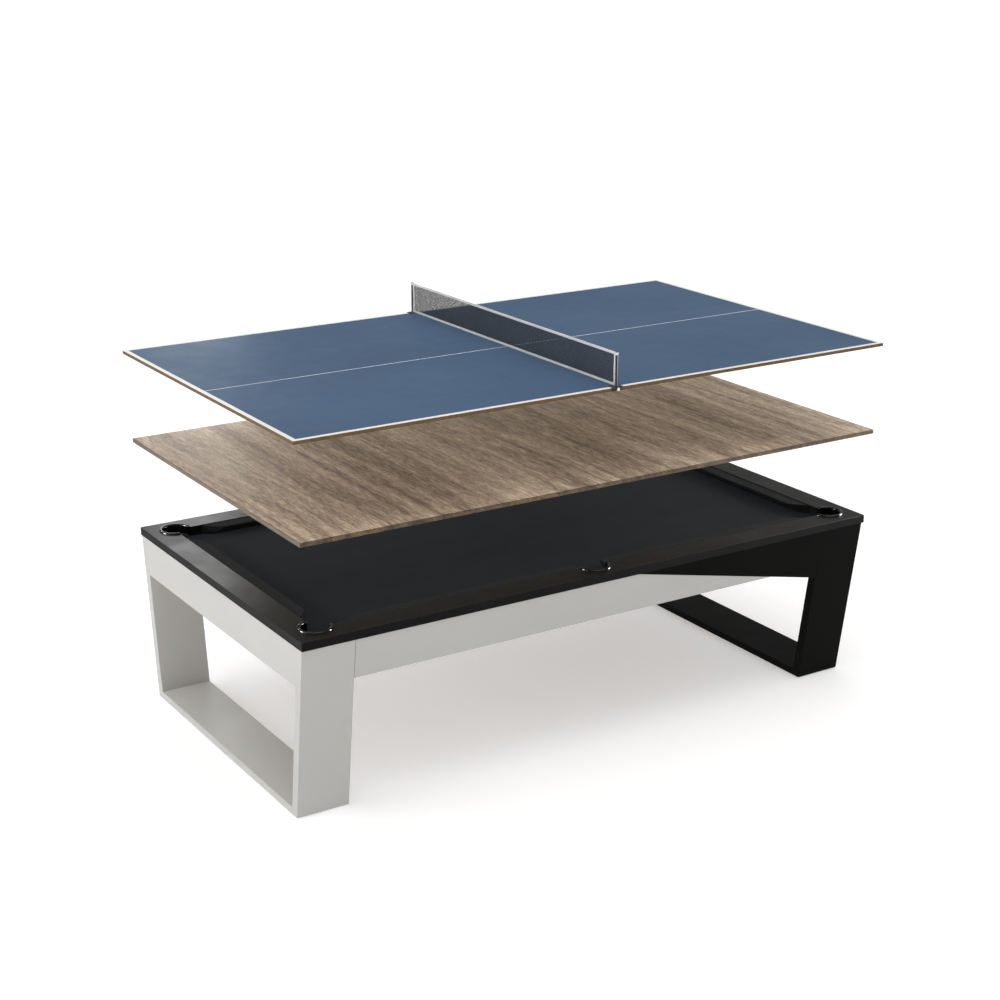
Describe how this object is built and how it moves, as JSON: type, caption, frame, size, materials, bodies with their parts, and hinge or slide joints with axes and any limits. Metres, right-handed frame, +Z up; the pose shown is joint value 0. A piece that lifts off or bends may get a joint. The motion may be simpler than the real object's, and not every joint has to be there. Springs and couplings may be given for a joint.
{
  "type": "convertible pool table",
  "caption": "Slate-bed pool table on one white and one black open end frame, with a lift-off wooden dining top and a lift-off table-tennis top with net raised above it.",
  "frame": {"origin": "on the floor, under the centre of the table", "axes": "+X along the table towards the black end frame, -Y the front, +Z up"},
  "size_m": [2.94, 1.7124, 1.7666],
  "materials": {
    "white_lacquer": "satin white lacquer on board",
    "black_lacquer": "satin black lacquer on board",
    "rail_lacquer": "satin charcoal lacquer on board",
    "beam_wood": "plain sawn softwood",
    "slate": "honed grey slate",
    "bed_cloth": "blue-black worsted billiard cloth",
    "cushion_rubber": "gum rubber covered in the bed's cloth",
    "rim_gloss": "gloss black moulding",
    "pocket_leather": "matt black stitched leather",
    "leveller_steel": "zinc-plated steel",
    "insert_brass": "plain brass insert",
    "bright_steel": "bright nickel-plated steel",
    "dining_wood": "grey-brown oiled oak, grain across the table",
    "dining_edge": "dark edge band",
    "felt": "self-adhesive felt",
    "tennis_paint": "matt slate-blue playing paint with white lines",
    "tennis_edge": "bare brown edge of the board",
    "net_metal": "black powder coat",
    "net_fabric": "dark knotted mesh with white tapes"
  },
  "bodies": {
    "table": {"white_leg_front": "white_lacquer", "black_leg_front": "black_lacquer", "white_apron_front": "white_lacquer", "black_apron_front": "black_lacquer", "side_beam_front": "beam_wood", "rail_cap_front": "rail_lacquer", "cushion_front_left": "cushion_rubber", "cushion_front_right": "cushion_rubber", "white_leg_back": "white_lacquer", "black_leg_back": "black_lacquer", "white_apron_back": "white_lacquer", "black_apron_back": "black_lacquer", "side_beam_back": "beam_wood", "rail_cap_back": "rail_lacquer", "cushion_back_left": "cushion_rubber", "cushion_back_right": "cushion_rubber", "rail_cap_left": "rail_lacquer", "cushion_end_left": "cushion_rubber", "rail_cap_right": "rail_lacquer", "cushion_end_right": "cushion_rubber", "white_base_board": "white_lacquer", "white_end_beam": "white_lacquer", "black_base_board": "black_lacquer", "black_end_beam": "black_lacquer", "slate_left": "slate", "pocket_cup_left_front": "pocket_leather", "pocket_cup_left_back": "pocket_leather", "slate_middle": "slate", "pocket_cup_middle_front": "pocket_leather", "pocket_cup_middle_back": "pocket_leather", "slate_right": "slate", "pocket_cup_right_front": "pocket_leather", "pocket_cup_right_back": "pocket_leather", "bed_cloth": "bed_cloth", "pocket_rims": "rim_gloss", "cross_beams": "beam_wood", "outrigger_blocks": "beam_wood", "corner_blocks": "beam_wood", "frame_bolts": "leveller_steel", "rail_bolts": "leveller_steel", "slate_screws": "leveller_steel", "leveller_inserts": "insert_brass"},
    "dining_top": {"dining_panel": "dining_wood", "dining_lipping": "dining_edge", "dining_pads": "felt", "dining_cleats": "beam_wood"},
    "tennis_top": {"tennis_half_left": "tennis_paint", "tennis_half_right": "tennis_paint", "tennis_lipping": "tennis_edge", "tennis_pads": "felt", "tennis_dowels": "beam_wood", "net_brackets": "net_metal", "net_posts": "net_metal", "net_mesh": "net_fabric"},
    "net_screw_front": {"net_screw_front": "bright_steel"},
    "net_screw_back": {"net_screw_back": "bright_steel"},
    "leveller_white_front": {"leveller_white_front": "leveller_steel"},
    "leveller_white_back": {"leveller_white_back": "leveller_steel"},
    "leveller_black_front": {"leveller_black_front": "leveller_steel"},
    "leveller_black_back": {"leveller_black_back": "leveller_steel"}
  },
  "joints": [
    {"name": "dining_top_lift", "type": "slide", "parent": "table", "child": "dining_top", "axis": [0, 0, 1], "range_m": [-0.387, 0]},
    {"name": "tennis_top_lift", "type": "slide", "parent": "dining_top", "child": "tennis_top", "axis": [0, 0, 1], "range_m": [-0.387, 0]},
    {"name": "net_screw_front_travel", "type": "slide", "parent": "tennis_top", "child": "net_screw_front", "axis": [0, -1, 0], "range_m": [0, 0.01]},
    {"name": "net_screw_back_travel", "type": "slide", "parent": "tennis_top", "child": "net_screw_back", "axis": [0, 1, 0], "range_m": [0, 0.01]},
    {"name": "leveller_white_front_travel", "type": "slide", "parent": "table", "child": "leveller_white_front", "axis": [0, 0, 1], "range_m": [0, 0.006]},
    {"name": "leveller_white_back_travel", "type": "slide", "parent": "table", "child": "leveller_white_back", "axis": [0, 0, 1], "range_m": [0, 0.006]},
    {"name": "leveller_black_front_travel", "type": "slide", "parent": "table", "child": "leveller_black_front", "axis": [0, 0, 1], "range_m": [0, 0.006]},
    {"name": "leveller_black_back_travel", "type": "slide", "parent": "table", "child": "leveller_black_back", "axis": [0, 0, 1], "range_m": [0, 0.006]}
  ]
}
